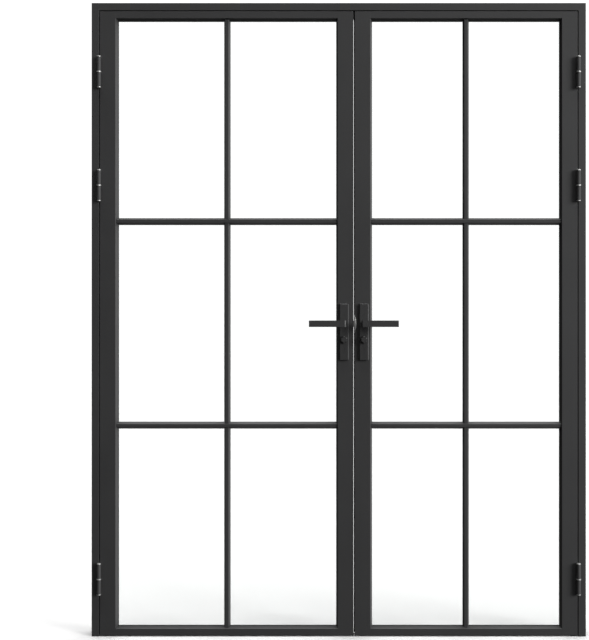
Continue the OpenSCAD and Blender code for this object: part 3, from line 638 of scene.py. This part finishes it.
class DOOR_OT_hinges(bpy.types.Operator):
    """Dress the hinges and screw their plates to frame and leaves"""

    bl_idname = "door.hinges"
    bl_label = "Hinges"

    # Places of the screws on a plate, as shares of its depth and of its half height.
    screw_depth = 0.65
    screw_height = 0.6
    screw_r = 2.5 * MM
    # Half of the gap between the two plates of a closed hinge.
    half_gap = 0.4 * MM

    def execute(self, context):
        edge = context.scene.door_edges.steel_edge
        for node in ("left_frame_hinges", "right_frame_hinges", "hinge_rings",
                     "active_leaf_hinges", "active_hinge_caps", "passive_leaf_hinges", "passive_hinge_caps"):
            round_edges(node, edge)
        paint("hinge_pins")
        for node in ("left_frame_hinges", "right_frame_hinges", "active_leaf_hinges", "passive_leaf_hinges"):
            self.add_screws(node)
        return {"FINISHED"}

    def add_screws(self, node):
        """Screws in the holes of each plate, on the side that faces the other plate."""
        leaf = "active" if node in ("left_frame_hinges", "active_leaf_hinges") else "passive"
        axis_x = JOINT[f"{leaf}_swing"]["pos_m"][0]
        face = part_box(f"{leaf}_hinge_stile")[0].y
        on_frame = node.endswith("frame_hinges")
        side = (-1 if on_frame else 1) * (1 if leaf == "active" else -1)
        bm = bmesh.new()
        for low, high in solids_of(node):
            middle, half = (low.z + high.z) / 2, (high.z - low.z) / 2
            depth = high.y - face
            for step in (-1, 1):
                place = Vector((axis_x + side * self.half_gap, face + self.screw_depth * depth,
                                middle + step * self.screw_height * half))
                add_screw(bm, place, Vector((-side, 0, 0)), self.screw_r)
        bmesh.ops.recalc_face_normals(bm, faces=bm.faces)
        piece = add_piece(f"{node}_screws", bm, "hinge_pins")
        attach(piece, BODY_OF[node])


class DOOR_OT_handles(bpy.types.Operator):
    """Dress the levers, backplates, thumb turns and their screws"""

    bl_idname = "door.handles"
    bl_label = "Handles"

    def execute(self, context):
        edges = context.scene.door_edges
        for leaf in LEAVES:
            round_edges(f"{leaf}_backplates", edges.plate_edge)
            round_edges(f"{leaf}_levers", edges.lever_edge)
            for part in ("turns", "plate_screws", "spindle"):
                paint(f"{leaf}_{part}")
        return {"FINISHED"}


class DOOR_OT_locks(bpy.types.Operator):
    """Dress the lock, the strike and the bolts, and screw the plates on"""

    bl_idname = "door.locks"
    bl_label = "Locks"

    # Distance of the screws from the middle of their plate, and radius of their heads.
    forend_screws = (58 * MM, 3 * MM)
    strike_screws = (22 * MM, 2.6 * MM)
    strike_thickness = 1.5 * MM

    def execute(self, context):
        edge = context.scene.door_edges.steel_edge
        for node in ("active_forend", "active_latch", "active_deadbolt",
                     "passive_strike", "passive_top_bolt"):
            round_edges(node, edge)
        for node in ("head_keep", "active_lock_case", "active_hub",
                     "passive_gear_case", "passive_bolt_guide"):
            paint(node)
        self.add_screws("active_forend", 1, *self.forend_screws)
        self.add_screws("passive_strike", -1, *self.strike_screws)
        return {"FINISHED"}

    def add_screws(self, node, facing, reach, head_r):
        """Two screws, one above and one below the middle of a plate on a leaf's edge."""
        low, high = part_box(node)
        edge = high.x if facing > 0 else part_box("passive_lock_stile")[0].x - self.strike_thickness
        middle = (low.z + high.z) / 2
        bm = bmesh.new()
        for step in (-1, 1):
            add_screw(bm, Vector((edge, 0, middle + step * reach)), Vector((facing, 0, 0)), head_r)
        bmesh.ops.recalc_face_normals(bm, faces=bm.faces)
        add_piece(f"{node}_screws", bm, node)


class DOOR_OT_stage(bpy.types.Operator):
    """Set the floor, the lights and the camera"""

    bl_idname = "door.stage"
    bl_label = "Stage"

    # Parts of the room that light the door: setting, direction, cosines where it fades in and is full.
    glows = (
        ("right_glow", (0.86, 0.45, 0.2), 0.5, 0.92),
        ("top_glow", (0.15, 0.55, 0.82), 0.55, 0.95),
        ("front_glow", (0.25, -0.65, 0.72), 0.2, 0.95),
        ("low_glow", (0.1, 0.15, -0.98), 0.6, 0.97),
    )
    key_direction = (1.6, -1.0, 0.45)
    top_direction = (0.0, 0.0, 1.0)
    floor_half = 30.0
    # A ray that reaches the room at a depth below this, its ways through glass not counted, has met
    # nothing before and sees the backdrop.
    backdrop_depth = 1.5

    def execute(self, context):
        stage = context.scene.door_stage
        self.add_floor(stage)
        self.add_room(context.scene, stage)
        self.add_light("key_light", self.key_direction, stage.key_light, stage.key_softness)
        self.add_light("top_light", self.top_direction, stage.top_light, stage.top_softness)
        self.add_camera(context.scene, stage)
        context.scene.view_settings.view_transform = "Standard"
        return {"FINISHED"}

    def add_floor(self, stage):
        """A plain pale floor that takes the shadow and stays out of reflections."""
        half = self.floor_half
        mesh = bpy.data.meshes.new("floor")
        corners = [(-half, -half, 0), (half, -half, 0), (half, half, 0), (-half, half, 0)]
        mesh.from_pydata(corners, [], [(0, 1, 2, 3)])
        paper = Recipe("floor_paper")
        mottle = paper.noise(size=0.4, detail=3)
        paper.feed("Base Color", paper.shades(mottle, stage.floor_colour, dark=0.99, light=1.01))
        paper.set(Roughness=0.9, Specular_IOR_Level=0.1)
        mesh.materials.append(paper.material)
        floor = bpy.data.objects.new("floor", mesh)
        bpy.context.scene.collection.objects.link(floor)
        floor.visible_glossy = False
        floor.visible_diffuse = False

    def add_room(self, scene, stage):
        """A plain white backdrop, in a room that is lit from the right and from above."""
        world = bpy.data.worlds.new("studio")
        world.use_nodes = True
        tree = world.node_tree
        look = tree.nodes.new("ShaderNodeTexCoord").outputs["Generated"]
        light = None
        for setting, direction, start, full in self.glows:
            towards = tree.nodes.new("ShaderNodeVectorMath")
            towards.operation = "DOT_PRODUCT"
            towards.inputs[1].default_value = Vector(direction).normalized()
            tree.links.new(look, towards.inputs[0])
            glow = tree.nodes.new("ShaderNodeMapRange")
            glow.interpolation_type = "SMOOTHSTEP"
            glow.inputs["From Min"].default_value = start
            glow.inputs["From Max"].default_value = full
            glow.inputs["To Max"].default_value = getattr(stage, setting)
            tree.links.new(towards.outputs["Value"], glow.inputs["Value"])
            add = tree.nodes.new("ShaderNodeMath")
            tree.links.new(glow.outputs["Result"], add.inputs[0])
            if light:
                tree.links.new(light, add.inputs[1])
            else:
                add.inputs[1].default_value = 0.0
            light = add.outputs["Value"]
        ray = tree.nodes.new("ShaderNodeLightPath")
        depth = tree.nodes.new("ShaderNodeMath")
        depth.operation = "SUBTRACT"
        tree.links.new(ray.outputs["Ray Depth"], depth.inputs[0])
        tree.links.new(ray.outputs["Transmission Depth"], depth.inputs[1])
        seen = tree.nodes.new("ShaderNodeMath")
        seen.operation = "LESS_THAN"
        seen.inputs[1].default_value = self.backdrop_depth
        tree.links.new(depth.outputs["Value"], seen.inputs[0])
        pick = tree.nodes.new("ShaderNodeMix")
        tree.links.new(seen.outputs["Value"], pick.inputs["Factor"])
        tree.links.new(light, pick.inputs["A"])
        pick.inputs["B"].default_value = stage.backdrop
        room = tree.nodes["Background"]
        tree.links.new(pick.outputs["Result"], room.inputs["Strength"])
        room.inputs["Color"].default_value = (1, 1, 1, 1)
        scene.world = world

    def add_light(self, name, direction, strength, softness):
        """A large soft light, far away in the given direction."""
        light = bpy.data.lights.new(name, "SUN")
        light.energy = strength
        light.angle = softness
        lamp = bpy.data.objects.new(name, light)
        bpy.context.scene.collection.objects.link(lamp)
        lamp.rotation_euler = Vector(direction).to_track_quat("Z", "Y").to_euler()

    def add_camera(self, scene, stage):
        """A level camera a little to the right of the middle, with the lens shifted sideways."""
        lens = bpy.data.cameras.new("camera")
        lens.lens = lens.sensor_width * stage.camera_distance / stage.view_height
        lens.shift_x = stage.view_shift
        camera = bpy.data.objects.new("camera", lens)
        scene.collection.objects.link(camera)
        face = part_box("active_hinge_stile")[0].y
        camera.location = (stage.camera_side, face - stage.camera_distance, stage.camera_height)
        camera.rotation_euler = (math.pi / 2, 0, 0)
        scene.camera = camera


OPERATORS = (DOOR_OT_frame, DOOR_OT_leaves, DOOR_OT_glass, DOOR_OT_seals, DOOR_OT_hinges, DOOR_OT_handles,
             DOOR_OT_locks, DOOR_OT_stage)
SETTINGS = {"door_finish": DOOR_PG_finish, "door_edges": DOOR_PG_edges, "door_stage": DOOR_PG_stage}


class DOOR_PT_panel(bpy.types.Panel):
    """Lists the steps that dress the door, and their settings"""

    bl_idname = "DOOR_PT_panel"
    bl_label = "Glazed double door"
    bl_space_type = "VIEW_3D"
    bl_region_type = "UI"
    bl_category = "Door"

    def draw(self, context):
        for step in OPERATORS:
            self.layout.operator(step.bl_idname)
        for name, group in SETTINGS.items():
            box = self.layout.box()
            for prop in group.__annotations__:
                box.prop(getattr(context.scene, name), prop)


CLASSES = (*SETTINGS.values(), *OPERATORS, DOOR_PT_panel)


def register():
    for cls in CLASSES:
        bpy.utils.register_class(cls)
    for name, group in SETTINGS.items():
        setattr(bpy.types.Scene, name, PointerProperty(type=group))


def unregister():
    for name in SETTINGS:
        delattr(bpy.types.Scene, name)
    for cls in reversed(CLASSES):
        bpy.utils.unregister_class(cls)


def main():
    register()
    bpy.ops.door.frame()
    bpy.ops.door.leaves()
    bpy.ops.door.glass()
    bpy.ops.door.seals()
    bpy.ops.door.hinges()
    bpy.ops.door.handles()
    bpy.ops.door.locks()
    bpy.ops.door.stage()


if __name__ == "__main__":
    main()
